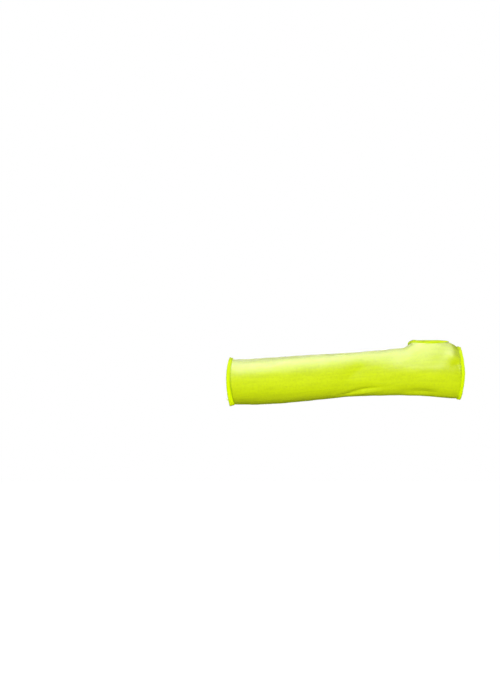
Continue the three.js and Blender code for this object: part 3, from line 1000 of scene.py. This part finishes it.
def spun_thread(name, edges):
    """Textured polyester overlock thread, dyed fluorescent yellow: matte and fuzzy, so it mirrors little
    and its colour is deeper than the knit's. Its faint emission is a painted glow that brightens the thread
    even where little light reaches it, standing in for the dye's fluorescence."""
    material, tree = bare_material(name)
    where = add(tree, "ShaderNodeTexCoord").outputs["Object"]
    fibres = add(tree, "ShaderNodeTexNoise", {"Vector": where, "Scale": 1 / FIBRE_SIZE, "Detail": 2.0})
    patched = {"Vector": where, "Scale": 1 / THREAD_PATCH_SIZE, "Detail": 2.0}
    patches = add(tree, "ShaderNodeTexNoise", patched)
    mixed = {0: patches.outputs[0], FIRST_COLOUR: edges.patches, SECOND_COLOUR: edges.thread}
    dyed = add(tree, "ShaderNodeMix", mixed, data_type="RGBA").outputs[MIXED_COLOUR]
    fuzz = {"Height": fibres.outputs[0], "Distance": FIBRE_RELIEF, "Strength": 1.0}
    bump = add(tree, "ShaderNodeBump", fuzz)
    shader = add(
        tree,
        "ShaderNodeBsdfPrincipled",
        {
            "Base Color": dyed,
            "Roughness": 0.7,
            "IOR": 1.5,
            "Specular IOR Level": 0.2,
            # Painted glow: the emission brightens the thread under any light, standing in for the dye's
            # fluorescence
            "Emission Color": linear("#ECFF00"),
            "Emission Strength": 0.07,
            "Normal": bump.outputs["Normal"],
        },
    )
    add(tree, "ShaderNodeOutputMaterial", {"Surface": shader.outputs["BSDF"]})
    return material


class SLEEVE_OT_stage(bpy.types.Operator):
    """Sets up the camera, the soft lights and the pale floor"""

    bl_idname = "sleeve.stage"
    bl_label = "Stage"

    def execute(self, context):
        scene, stage = context.scene, context.scene.sleeve_stage
        scene.view_settings.view_transform = "Standard"
        camera = bpy.data.objects.new("camera", bpy.data.cameras.new("camera"))
        camera.data.sensor_width = SENSOR
        camera.data.lens = SENSOR * stage.distance / (PIXEL * IMAGE_HEIGHT)
        camera.location = (CAMERA_ALONG, -stage.distance, CAMERA_UP)
        camera.rotation_euler = (math.radians(90), 0, 0)

        lights = [
            soft_light(name, place, size, getattr(stage, name), use)
            for name, (place, size, use) in PANELS.items()
        ]

        half = FLOOR_SIZE / 2
        floor_mesh = bpy.data.meshes.new("floor")
        square = ((-half, -half), (half, -half), (half, half), (-half, half))
        floor_mesh.from_pydata([(x, y, -FLOOR_DROP) for x, y in square], [], [(0, 1, 2, 3)])
        floor_mesh.materials.append(white_paper())
        floor = bpy.data.objects.new("floor", floor_mesh)
        floor.visible_diffuse = False
        floor.visible_glossy = False

        for item in (camera, floor, *lights):
            scene.collection.objects.link(item)
        scene.camera = camera
        scene.world = white_room(stage.room)
        return {"FINISHED"}


def soft_light(name, place, size, power, use):
    """A square studio panel that faces the sleeve, used for plain light, for gloss or for both. A power
    of 1 shows a white surface that faces it as white."""
    light = bpy.data.lights.new(name, "AREA")
    light.size = size
    towards = Vector(place) - Vector(LIT_PLACE)
    light.energy = power * (math.pi * towards.length) ** 2
    panel = bpy.data.objects.new(name, light)
    panel.location = place
    panel.rotation_euler = towards.to_track_quat("Z", "Y").to_euler()
    panel.visible_camera = False
    panel.visible_glossy = use != "plain"
    panel.visible_diffuse = use != "gloss"
    return panel


def white_paper():
    """White seamless paper of a photo studio: matte, and bright enough to read as white"""
    material = bpy.data.materials.new("White seamless paper")
    material.use_nodes = True
    shader = material.node_tree.nodes["Principled BSDF"]
    shader.inputs["Base Color"].default_value = linear("#F6F6F4")
    shader.inputs["Roughness"].default_value = 0.9
    shader.inputs["Emission Color"].default_value = linear("#FFFFFF")
    shader.inputs["Emission Strength"].default_value = FLOOR_GLOW
    return material


def white_room(strength):
    """A white room, which the camera sees at full brightness and the sleeve is lit by more softly"""
    world = bpy.data.worlds.new("White room")
    world.use_nodes = True
    tree = world.node_tree
    tree.nodes.clear()
    world.cycles_visibility.glossy = False
    path = add(tree, "ShaderNodeLightPath")
    seen = add(tree, "ShaderNodeBackground", {"Color": linear("#FFFFFF"), "Strength": 1.0})
    given = add(tree, "ShaderNodeBackground", {"Color": linear("#FFFFFF"), "Strength": strength})
    either = {0: path.outputs["Is Camera Ray"], 1: given.outputs[0], 2: seen.outputs[0]}
    shown = add(tree, "ShaderNodeMixShader", either)
    add(tree, "ShaderNodeOutputWorld", {"Surface": shown.outputs[0]})
    return world


def check_fit(piece):
    """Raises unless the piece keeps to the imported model's box"""
    low, high = np.array(CAD_BOX)
    corners = places(piece.data)
    if (corners < low - FIT).any() or (corners > high + FIT).any():
        raise ValueError(piece.name + " reaches out of the packed model's box")


class SLEEVE_OT_hems(bpy.types.Operator):
    """Builds the overlocked hems of the elbow end, the finger end and the thumb slot"""

    bl_idname = "sleeve.hems"
    bl_label = "Overlocked hems"

    def execute(self, context):
        scene = context.scene
        shape, edges = scene.sleeve_shape, scene.sleeve_edges
        knit = WornKnit(shape)
        reach = edges.cover + edges.strand
        tree = stitch_row_tree()
        material = spun_thread("Spun overlock thread", edges)
        elbow = end_edge(knit, knit.elbow_edge, 1, reach, ELBOW_WIDENING)
        hand = end_edge(knit, knit.hand_edge, -1, reach)
        slot = slot_edge(knit, reach)
        for node, edge, extra in (
            ("elbow_hem", elbow, thread_tails(elbow, shape, edges)),
            ("hand_hem", hand, ()),
            ("thumb_hem", slot, ()),
        ):
            hem = overlocked(node + "_thread", edge, shape, edges, tree, material, extra)
            check_fit(hem)
            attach(hem, "root")
            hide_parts(node)
        return {"FINISHED"}


class SLEEVE_OT_knit_tube(bpy.types.Operator):
    """Builds the knit tube, with its folds and the opening for the thumb"""

    bl_idname = "sleeve.knit_tube"
    bl_label = "Knit tube"

    def execute(self, context):
        scene = context.scene
        shape, yarn = scene.sleeve_shape, scene.sleeve_knit
        mesh = knit_cloth(WornKnit(shape), shape, yarn)
        mesh.materials.append(knitted_polyethylene("Knitted polyethylene yarn", yarn, face_stitches))
        mesh.materials.append(knitted_polyethylene("Reverse of the knit", yarn, reverse_stitches))
        cloth = bpy.data.objects.new("knit_cloth", mesh)
        scene.collection.objects.link(cloth)
        check_fit(cloth)
        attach(cloth, "root")
        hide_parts("knit_tube")
        return {"FINISHED"}


class SLEEVE_PT_build(bpy.types.Panel):
    """The sleeve's sizes, colours and build steps"""

    bl_idname = "SLEEVE_PT_build"
    bl_label = "Cut resistant sleeve"
    bl_space_type = "VIEW_3D"
    bl_region_type = "UI"
    bl_category = "Sleeve"

    def draw(self, context):
        for name, groups in (
            ("sleeve.stage", ("sleeve_stage",)),
            ("sleeve.hems", ("sleeve_edges",)),
            ("sleeve.knit_tube", ("sleeve_shape", "sleeve_knit")),
        ):
            box = self.layout.box()
            box.operator(name)
            for group in groups:
                values = getattr(context.scene, group)
                for key in values.bl_rna.properties.keys():
                    if key not in ("rna_type", "name"):
                        box.prop(values, key)


GROUPS = {
    "sleeve_shape": SLEEVE_PG_shape,
    "sleeve_knit": SLEEVE_PG_knit,
    "sleeve_edges": SLEEVE_PG_edges,
    "sleeve_stage": SLEEVE_PG_stage,
}
CLASSES = (*GROUPS.values(), SLEEVE_OT_stage, SLEEVE_OT_hems, SLEEVE_OT_knit_tube, SLEEVE_PT_build)


def register():
    for cls in CLASSES:
        bpy.utils.register_class(cls)
    for name, group in GROUPS.items():
        setattr(bpy.types.Scene, name, PointerProperty(type=group))


def unregister():
    for name in GROUPS:
        delattr(bpy.types.Scene, name)
    for cls in reversed(CLASSES):
        bpy.utils.unregister_class(cls)


def main():
    register()
    bpy.ops.sleeve.stage()
    bpy.ops.sleeve.hems()
    bpy.ops.sleeve.knit_tube()


if __name__ == "__main__":
    main()
